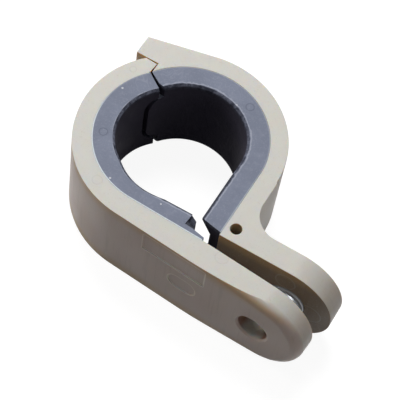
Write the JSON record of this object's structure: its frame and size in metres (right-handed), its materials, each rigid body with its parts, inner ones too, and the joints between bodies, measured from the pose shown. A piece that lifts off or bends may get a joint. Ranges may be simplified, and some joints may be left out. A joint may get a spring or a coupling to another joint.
{
  "type": "p-clip",
  "caption": "P-shaped support clamp: two hooked plastic jaws with a rubber lining each, and a metal bush in the bolt hole.",
  "frame": {"origin": "middle of the bundle bore, half way between the two side faces", "axes": "+X from the bore along the legs to the bolt hole; +Z along the bundle, towards the side face seen in the picture; +Y from the legs across the bore to the rear ring"},
  "size_m": [0.0644, 0.0463, 0.0206],
  "materials": {
    "shell": "satin moulded, light beige, slightly translucent",
    "lining": "satin moulded, blue-grey",
    "bush": "turned, passivated"
  },
  "bodies": {
    "rear": {"rear_jaw": "shell", "rear_lining": "lining", "bush": "bush"},
    "front": {"front_jaw": "shell", "front_lining": "lining"}
  },
  "joints": [
    {"name": "jaw_hinge", "type": "hinge", "parent": "rear", "child": "front", "pos_m": [-0.01668, 0.01162, 0], "axis": [0, 0, -1], "range_deg": [-4, 40]}
  ]
}
